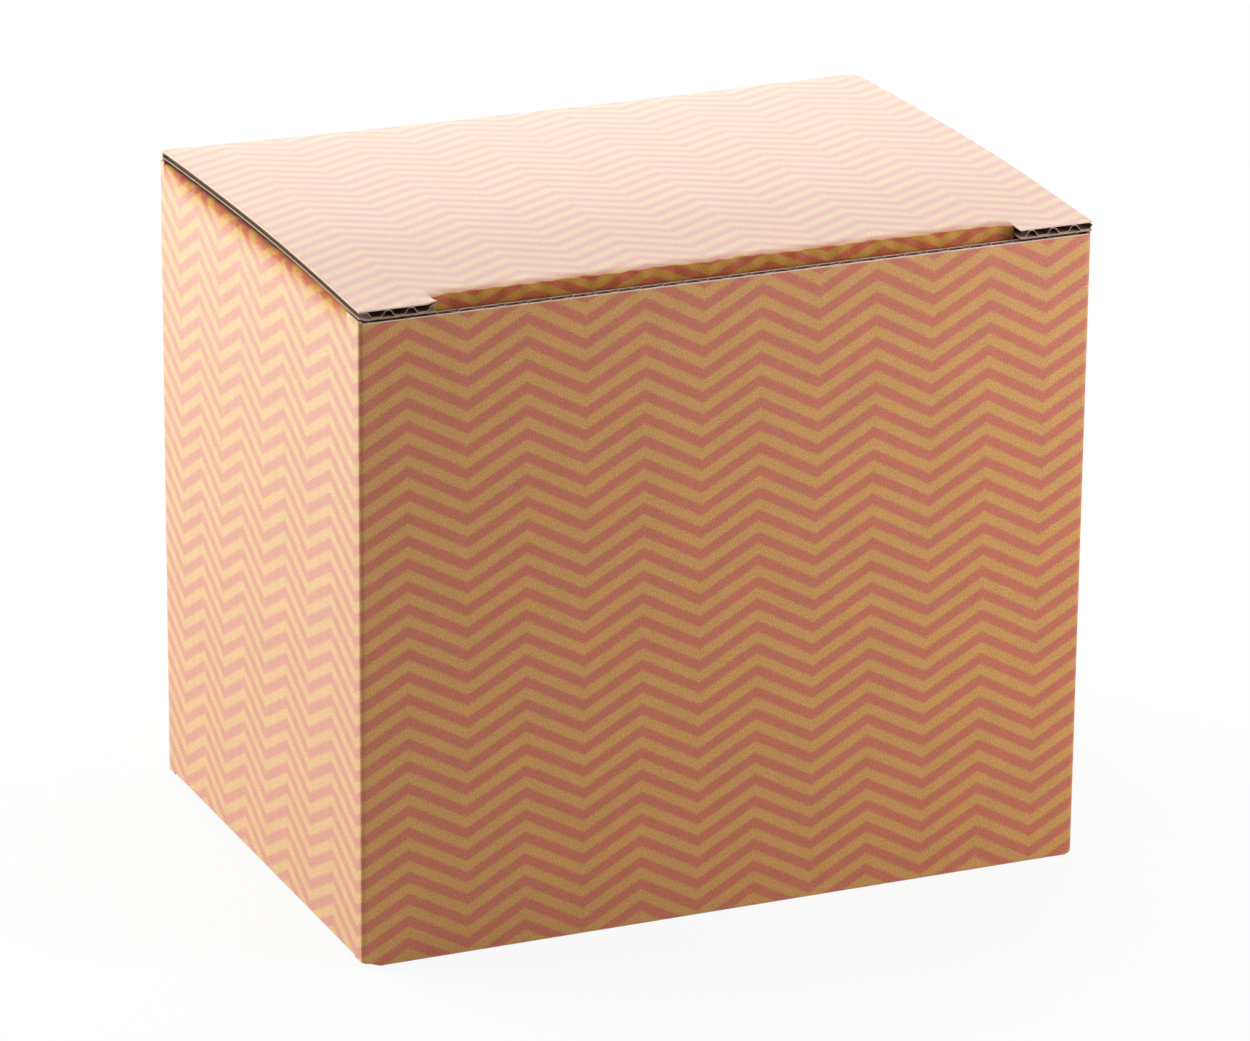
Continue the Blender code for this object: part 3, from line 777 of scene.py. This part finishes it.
def sleeve_skin():
    """One printed paper round all four walls."""
    runs = sleeve_runs()
    starts = [sum(run.length for run in runs[:index]) for index in range(len(runs))]
    columns = []
    for run, start in zip(runs, starts):
        columns += [start + place for place in run.breaks]
    columns = sorted(set(round(column, PLACE_DIGITS) for column in columns))
    levels = [CORNER_FOOT, FOLD_RADIUS, CORNER_FOOT + FOLD_RADIUS]
    levels += [PANEL_TOP - DUST_DROP, PANEL_TOP - RAW_EDGE, PANEL_TOP, HEIGHT - FOLD_RADIUS]
    rows = stations(levels, WALL_STEP)

    def run_at(column):
        for run, start in zip(runs, starts):
            if column <= start + run.length + ROUNDING:
                return run, min(max(column - start, 0.0), run.length)
        return runs[-1], runs[-1].length

    def covers(column, row):
        run, along = run_at(column)
        return run.low(along) < row < run.high(along)

    def footed(row, run, along):
        """The level of a row. The one at the corners' feet follows the relief cuts."""
        return row - run.dropped(along) if abs(row - CORNER_FOOT) < ROUNDING else row

    def place(column, row, depth):
        run, along = run_at(column)
        point, out = run.at(along)
        level = footed(row, run, along)
        if run.high(along) <= PANEL_TOP:
            level += run.raised(along) * clamped((row - PANEL_TOP + DUST_DROP) / DUST_DROP)
        return point + UP * level - out * depth * run.thickness

    def print_at(column, row):
        run, along = run_at(column)
        return run.print_at(along, footed(row, run, along))

    def bare(column, row):
        run, _ = run_at(column)
        return run.is_raw and row > PANEL_TOP - RAW_EDGE

    piece = paper_over("sleeve_print", columns, rows, covers, place, print_at, "sleeve", PRINTED_PAPER, bare)
    walls = [f"{side}_wall_outer_liner" for side in ("front", "back", "left", "right")]
    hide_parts(*walls, "front_left_fold", "front_right_fold", "back_left_fold", "glue_flap_fold")


# The lid's three papers

def lid_paper(name, ply, columns, rows, depth_at, thickness, finishes):
    """A paper of the bowed lid with its two shoulders. depth_at gives how far down its face lies."""

    def covers(column, row):
        return row > TUCK_EDGE or abs(column) > INNER_SHOULDER

    def place(column, row, depth):
        return lid_point(column, row) + DOWN * (depth_at(column, row) + depth * thickness)

    def print_at(column, row):
        return PRINTS["lid"].print_at(Vector((column, row, HEIGHT)))

    piece = paper_over(name, columns, rows, covers, place, print_at, "lid", finishes)
    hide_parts(f"lid_{ply}")


def lid_print():
    """The lid's printed paper. It has come a little loose at the left shoulder's inner corner."""
    near_corner = [step * EDGE_STEP for step in range(1, LOOSE_STEPS + 1)]
    columns = stations(LID_SIDES + [-INNER_SHOULDER - place for place in near_corner], FINE_STEP)
    rows = stations([LID_FRONT, TUCK_EDGE] + [LID_FRONT + place for place in near_corner], SHOULDER_STEP)
    rows = stations(rows + [LID_BACK], LID_STEP)
    loose_corner = Vector((-INNER_SHOULDER, LID_FRONT))

    def depth_at(column, row):
        away = (Vector((column, row)) - loose_corner).length / LOOSE_REACH
        return -LOOSE_LIFT * math.exp(-away * away) if column < 0 else 0.0

    lid_paper("lid_print", "outer_liner", columns, rows, depth_at, LINER, PRINTED_PAPER)


def lid_waves():
    """The lid's fluted paper, whose waves show in the shoulders' cut ends."""
    columns = stations(LID_SIDES, FLUTE_PITCH / WAVE_STEPS)
    rows = stations(LID_INNER_ROWS, COARSE_STEP)

    def depth_at(column, row):
        return wave_depth(column)

    finishes = [FLUTING_AND_SHADE, FLUTING_AND_SHADE, INNER_CUT]
    lid_paper("lid_waves", "fluting", columns, rows, depth_at, FLUTED_PAPER, finishes)


def lid_back():
    """The lid's plain inner paper. The cut on the left has pressed the board a little thinner."""
    near_cut = [-HALF_WIDTH + step * EDGE_STEP for step in range(1, CUT_STEPS + 1)]
    columns = stations(LID_SIDES + near_cut, COARSE_STEP)
    rows = stations(LID_INNER_ROWS, COARSE_STEP)

    def depth_at(column, row):
        pressed = 1 - smooth((column + HALF_WIDTH) / CUT_REACH)
        return BOARD - LINER - pressed * CUT_CRUSH

    finishes = [PLAIN, PLAIN, INNER_CUT]
    lid_paper("lid_back", "inner_liner", columns, rows, depth_at, LINER, finishes)


# Crushed folds between panels

# Where a crushed fold runs, and how it turns. start, corner, end and turns are functions of the place along
# it. start and end give its edges on its two panels, corner is where the two faces would meet, and turns
# says how far from the corner its turn starts and ends. sharpness flattens the turn from a round towards a
# straight chamfer. dull is how much of the print's gloss is gone from the turn on.
Fold = namedtuple("Fold", "start corner end turns sharpness dull", defaults=(0.0, 0.0))


def section_points(fold, along):
    """Points on the printed face from panel to panel, with one just outside each end of the turn."""
    start, corner, end = fold.start(along), fold.corner(along), fold.end(along)
    first_turn, second_turn = fold.turns(along)
    leaving = (start - corner).normalized() * first_turn
    arriving = (end - corner).normalized() * second_turn
    points = [start, corner + leaving * (1 + FOLD_FLAT / 2 / first_turn)]
    for step in range(ARC_STEPS + 1):
        share = step / ARC_STEPS
        angle = share * math.pi / 2
        curve = leaving * (1 - math.sin(angle)) + arriving * (1 - math.cos(angle))
        chamfer = leaving.lerp(arriving, share)
        points.append(corner + curve.lerp(chamfer, fold.sharpness))
    points += [corner + arriving * (1 + FOLD_FLAT / 2 / second_turn), end]
    return points


def section_lengths(points):
    """How far along a section each of its points lies."""
    lengths = [0.0]
    for near, far in zip(points, points[1:]):
        lengths.append(lengths[-1] + (far - near).length)
    return lengths


def section_prints(points, lengths, panels):
    """The print on a section: each panel's own on its flat part, and spread evenly over the turn between."""
    before, after = [PRINTS[panel] for panel in panels]
    first = before.print_at(points[TURN_START])
    second = after.print_at(points[TURN_END])
    turn_start = lengths[TURN_START]
    turn_end = lengths[TURN_END]
    prints = []
    for point, length in zip(points, lengths):
        if length <= turn_start:
            prints.append(before.print_at(point))
        elif length >= turn_end:
            prints.append(after.print_at(point))
        else:
            prints.append(first.lerp(second, (length - turn_start) / (turn_end - turn_start)))
    return prints


def section_backs(points, axis, inside):
    """Points on the strip's plain back, straight in from those of a section."""
    backs = []
    for index, point in enumerate(points):
        before = points[max(index - 1, 0)]
        after = points[min(index + 1, len(points) - 1)]
        across = axis.cross(after - before).normalized()
        inward = across if across.dot(inside) > 0 else -across
        backs.append(point + inward * CRUSHED_BOARD)
    return backs


def fold_strip(name, panels, fold, ends):
    """A crushed strip of board along a fold between two ends, which turns smoothly from one panel to the
    other.
    """
    halfway = (ends[0] + ends[1]) / 2
    middle = section_points(fold, halfway)
    axis = (fold.start(halfway + MM) - middle[0]).normalized()
    inside = (middle[0] + middle[-1]) / 2 - fold.corner(halfway)
    shape = bmesh.new()
    layer = shape.loops.layers.uv.new("print")
    dullness = shape.verts.layers.float.new("dullness")

    rings = []
    for along in stations(ends, STRIP_STEP):
        points = section_points(fold, along)
        lengths = section_lengths(points)
        prints = section_prints(points, lengths, panels)
        faces = [shape.verts.new(point) for point in points]
        backs = [shape.verts.new(point) for point in section_backs(points, axis, inside)]
        for vert, length in zip(faces, lengths):
            into_turn = length - lengths[TURN_START]
            vert[dullness] = fold.dull * smooth((into_turn - DULL_START) / DULL_RAMP)
        rings.append((list(zip(faces, prints)), list(zip(backs, prints))))

    def add_face(corners, finish):
        face = shape.faces.new([vert for vert, _ in corners])
        face.material_index = finish
        for loop, (_, place) in zip(face.loops, corners):
            loop[layer].uv = place

    last = len(middle) - 1
    for (faces, backs), (next_faces, next_backs) in zip(rings, rings[1:]):
        for step in range(last):
            add_face([faces[step], next_faces[step], next_faces[step + 1], faces[step + 1]], FACE_SIDE)
            add_face([backs[step], backs[step + 1], next_backs[step + 1], next_backs[step]], BACK_SIDE)
        for step in (0, last):
            add_face([faces[step], backs[step], next_backs[step], next_faces[step]], CUT_SIDE)
    for faces, backs in (rings[0], rings[-1]):
        for step in range(last):
            add_face([faces[step], faces[step + 1], backs[step + 1], backs[step]], CUT_SIDE)
    piece = new_piece(f"{name}_strip", shape, PRINTED_PAPER)
    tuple(middle[0])
    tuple(middle[-1])
    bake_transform(piece)
    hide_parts(name)


def fold_ends(name, axis):
    """The two ends of a packed fold along its axis."""
    low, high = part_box(name)
    return sorted([low.dot(axis), high.dot(axis)])


def swelling(along, ends, fade):
    """0 at both ends of a fold and 1 further in than fade."""
    return smooth(min(along - ends[0], ends[1] - along) / fade)


def crease_off(off_crest, crease, ripple, spot):
    """How far an uneven crease lies off its line, this far off a wave's crest and at a spot of the noise."""
    wave = math.cos(2 * math.pi * off_crest / FLUTE_PITCH)
    return crease + ripple * wave + CREASE_WANDER * noise.noise(spot)


def even_turns(along):
    """A plain rounding, the same on both panels."""
    return FOLD_RADIUS - FOLD_FLAT, FOLD_RADIUS - FOLD_FLAT


def lid_fold_strip():
    """The fold along the back, where the lid's edge stands a little higher than its crease."""
    foot = BACK * HALF_DEPTH + UP * (HEIGHT - FOLD_RADIUS)
    fold = Fold(
        start=lambda along: foot + RIGHT * along,
        corner=lambda along: lid_point(along, HALF_DEPTH),
        end=lambda along: lid_point(along, LID_BACK),
        turns=even_turns,
    )
    fold_strip("lid_fold", ("back_wall", "lid"), fold, fold_ends("lid_fold", RIGHT))


def tuck_fold_strip():
    """The lid's front fold. Its crease follows the crushed waves, and it falls steeply to the tuck flap."""
    ends = (-INNER_SHOULDER + FOLD_END_GAP, INNER_SHOULDER - FOLD_END_GAP)
    corner = HINGES["tuck_hinge"]
    reach = TUCK_EDGE - corner.y
    tuck_down = tuck_direction()

    def turns(along):
        spot = Vector((along / TUCK_WANDER_LENGTH, 0, 0))
        crease = crease_off(along - FLUTE_CREST, TUCK_CREASE, TUCK_RIPPLE, spot)
        size = TUCK_AT_ENDS + (1 - TUCK_AT_ENDS) * swelling(along, ends, TUCK_FADE)
        return crease * size, reach - FOLD_FLAT

    fold = Fold(
        start=lambda along: lid_point(along, TUCK_EDGE),
        corner=lambda along: corner + RIGHT * along,
        end=lambda along: corner + tuck_down * reach + RIGHT * along,
        turns=turns,
        sharpness=0.30,
        dull=0.8,
    )
    fold_strip("tuck_fold", ("lid", "tuck_flap"), fold, ends)


def dust_fold_strip(side, out):
    """A side wall's top fold, rolled in under the lid, most in the middle of its length."""
    ends = fold_ends(f"{side}_dust_fold", BACK)
    top = out * HALF_WIDTH + UP * PANEL_TOP

    def turns(along):
        first_turn, second_turn = even_turns(along)
        spot = Vector((along / DUST_WANDER_LENGTH, out.x, DUST_WANDER_SEED))
        full = swelling(along, ends, DUST_FADE)
        first_turn += full * crease_off(along, DUST_CREASE, DUST_RIPPLE, spot)
        return first_turn, second_turn + full * DUST_SECOND_CREASE

    fold = Fold(
        start=lambda along: top + DOWN * DUST_DROP + BACK * along,
        corner=lambda along: top + BACK * along + UP * side_raise(top.x, along),
        end=lambda along: top - out * DUST_REACH + BACK * along + UP * FOLD_END_GAP,
        turns=turns,
        sharpness=0.25,
        dull=1.0,
    )
    flap = f"{side}_dust_flap"
    fold_strip(f"{side}_dust_fold", (f"{side}_wall", flap), fold, ends)


def bottom_fold_strip(side, out, foot, axis):
    """The fold at a wall's foot, from the wall to its bottom flap."""
    fold = Fold(
        start=lambda along: foot + UP * FOLD_RADIUS + axis * along,
        corner=lambda along: foot + axis * along,
        end=lambda along: foot - out * FOLD_RADIUS + axis * along,
        turns=even_turns,
    )
    flap = f"{side}_bottom_flap"
    ends = fold_ends(f"{side}_bottom_fold", axis)
    fold_strip(f"{side}_bottom_fold", (f"{side}_wall", flap), fold, ends)


def all_fold_strips():
    lid_fold_strip()
    tuck_fold_strip()
    for side, out in (("left", LEFT), ("right", RIGHT)):
        dust_fold_strip(side, out)
        bottom_fold_strip(side, out, out * HALF_WIDTH + UP * CORNER_FOOT, BACK)
    for side, out in (("front", FRONT), ("back", BACK)):
        bottom_fold_strip(side, out, out * HALF_DEPTH, RIGHT)


# Flaps and the plain plies

def flat_paper(name, ply, slot, body, finishes):
    """A paper in its packed ply's shape, with the print laid on it, and a finish for its cut edges."""
    node = bpy.data.objects[f"{name}_{ply}"]
    shape = bmesh.new()
    shape.from_mesh(node.data)
    layer = shape.loops.layers.uv.new("print")
    widest = max(shape.faces, key=lambda face: face.calc_area())
    out = widest.normal.copy()
    for face in shape.faces:
        is_broad = abs(face.normal.dot(out)) > 0.5
        face.material_index = 0 if is_broad else 1
        for loop in face.loops:
            loop[layer].uv = PRINTS[name].print_at(loop.vert.co)
    piece = new_piece(f"{name}_{slot}", shape, finishes, body, smooth_angle=30)
    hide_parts(f"{name}_{ply}")


def flat_papers():
    """The printed paper of each flap, and the plain paper inside each wall and flap."""
    bodies = {name: name for name in PRINTS if name.endswith("_flap")}
    bodies["glue_flap"] = "sleeve"
    for name, body in bodies.items():
        flat_paper(name, "outer_liner", "printed_liner", body, [PRINTED, CUT_EDGE_AND_HIGHLIGHT])
    for side in ("front", "back", "left", "right"):
        bodies[f"{side}_wall"] = "sleeve"
    for name, body in bodies.items():
        flat_paper(name, "inner_liner", "plain_liner", body, [PLAIN, CUT_EDGE_AND_HIGHLIGHT])


def front_wall_waves():
    """The front wall's fluted paper, whose waves show along the wall's top."""
    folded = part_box("front_bottom_fold")[1].x + FOLD_END_GAP
    edge = HALF_WIDTH - INNER_SETBACK
    columns = stations([-edge, -folded, folded, edge], FLUTE_PITCH / WAVE_STEPS)
    rows = [CORNER_FOOT, INNER_SETBACK, PANEL_TOP]

    def covers(column, row):
        return abs(column) > folded or row > INNER_SETBACK

    def place(column, row, depth):
        return Vector((column, -HALF_DEPTH + wave_depth(column) + depth * FLUTED_PAPER, row))

    def print_at(column, row):
        return Vector((column / MM, row / MM))

    finishes = [FLUTING_AND_SHADE, FLUTING_AND_SHADE, CUT_EDGE_AND_HIGHLIGHT]
    piece = paper_over("front_wall_waves", columns, rows, covers, place, print_at, "sleeve", finishes)
    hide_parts("front_wall_fluting")


def packed_plies():
    """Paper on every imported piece. All but the fluted papers of three walls and the flaps are replaced."""
    for node in frame["nodes"]:
        slot = bpy.data.objects[node].material_slots[0]
        if node.endswith("_fluting"):
            slot.material = FLUTING_AND_SHADE
        elif node.endswith("_inner_liner"):
            slot.material = PLAIN
        else:
            slot.material = PRINTED


# The studio

FLOOR_WHITENESS = 0.9
FLOOR_GREY = 0.78
FLOOR_HALF = 3.0
FLOOR_GAP = 0.02 * MM
WORLD_LIGHT = 0.15
WHITE = (1, 1, 1)

# The camera that fits the photograph: its place in millimetres, its turns in degrees and its lens
CAMERA_PLACE = (-394.60, -906.55, 403.71)
CAMERA_TURNS = (70.2582, -0.4816, -23.4265)
CAMERA_LENS = 195.445


def soft_lamp(name, place, aim, size, power, colour):
    lamp = bpy.data.lights.new(name, "AREA")
    lamp.shape = "RECTANGLE"
    lamp.size, lamp.size_y = size
    lamp.energy = power
    lamp.color = colour
    holder = new_object(name, lamp)
    holder.location = place
    holder.rotation_euler = (Vector(place) - Vector(aim)).to_track_quat("Z", "Y").to_euler()
    holder.visible_camera = False


def seen_directly(tree):
    """1 for the camera and for reflections, and 0 for the light that reaches the object."""
    rays = tree.nodes.new("ShaderNodeLightPath")
    seen = tree.nodes.new("ShaderNodeMath")
    seen.operation = "MAXIMUM"
    tree.links.new(rays.outputs["Is Camera Ray"], seen.inputs[0])
    tree.links.new(rays.outputs["Is Glossy Ray"], seen.inputs[1])
    return seen.outputs[0]


def blended(tree, share, first, second, output):
    """Joins an output to a share of the second shader over the first."""
    blend = tree.nodes.new("ShaderNodeMixShader")
    tree.links.new(share, blend.inputs[0])
    tree.links.new(first.outputs[0], blend.inputs[1])
    tree.links.new(second.outputs[0], blend.inputs[2])
    tree.links.new(blend.outputs[0], tree.nodes[output].inputs["Surface"])


def studio_floor():
    """A white floor that keeps a soft shadow under the object."""
    nodes = Nodes("studio_floor")
    nodes.shader.inputs["Base Color"].default_value = (FLOOR_GREY, FLOOR_GREY, FLOOR_GREY, 1)
    nodes.shader.inputs["Roughness"].default_value = 0.9
    white = nodes.tree.nodes.new("ShaderNodeEmission")
    share = nodes.math("MULTIPLY", seen_directly(nodes.tree), FLOOR_WHITENESS)
    blended(nodes.tree, share, nodes.shader, white, "Material Output")
    mesh = bpy.data.meshes.new("studio_floor")
    corners = [(x * FLOOR_HALF, y * FLOOR_HALF, 0) for x, y in ((-1, -1), (1, -1), (1, 1), (-1, 1))]
    mesh.from_pydata(corners, [], [(0, 1, 2, 3)])
    mesh.materials.append(nodes.material)
    floor = new_object("studio_floor", mesh)
    floor.location.z = -FLOOR_GAP


def studio_world():
    """Soft light from all round, which the camera and reflections see as plain white."""
    world = bpy.data.worlds.new("studio")
    bpy.context.scene.world = world
    world.use_nodes = True
    tree = world.node_tree
    light = tree.nodes["Background"]
    light.inputs["Color"].default_value = (*WHITE, 1)
    light.inputs["Strength"].default_value = WORLD_LIGHT
    white = tree.nodes.new("ShaderNodeBackground")
    white.inputs["Strength"].default_value = 1.0
    blended(tree, seen_directly(tree), light, white, "World Output")


def studio_lamps():
    """A large light behind, two on the left, one overhead and a small near one on the right, all soft."""
    middle = (0, 0, 0.05)
    soft_lamp("back", place=(0.52, 1.20, 0.60), aim=(0, 0, 0.10), size=(1.2, 0.7), power=8.6,
              colour=(0.92, 1.0, 0.99))
    soft_lamp("left_back", place=(-1.00, 0.60, 0.70), aim=middle, size=(0.8, 0.8), power=13.4,
              colour=(0.98, 1.0, 0.95))
    soft_lamp("left_low", place=(-0.62, 1.25, 0.18), aim=(-0.05, 0, 0.06), size=(0.7, 0.34), power=29.0,
              colour=(0.90, 1.0, 0.89))
    soft_lamp("top", place=(0.0, 0.1, 1.3), aim=middle, size=(0.9, 0.9), power=4.7, colour=WHITE)
    soft_lamp("right_near", place=(0.24, -0.22, 0.15), aim=(0.08, 0, 0.06), size=(0.14, 0.14), power=0.87,
              colour=(0.94, 0.93, 1.0))


def camera():
    """The photograph's view."""
    eye = bpy.data.cameras.new("camera")
    eye.lens = CAMERA_LENS
    holder = new_object("camera", eye)
    holder.location = millimetres(*CAMERA_PLACE)
    holder.rotation_euler = Euler([math.radians(angle) for angle in CAMERA_TURNS])
    bpy.context.scene.camera = holder


packed_plies()
sleeve_skin()
lid_print()
lid_waves()
lid_back()
all_fold_strips()
flat_papers()
front_wall_waves()
studio_floor()
studio_world()
studio_lamps()
camera()
bpy.context.scene.view_settings.view_transform = "Standard"
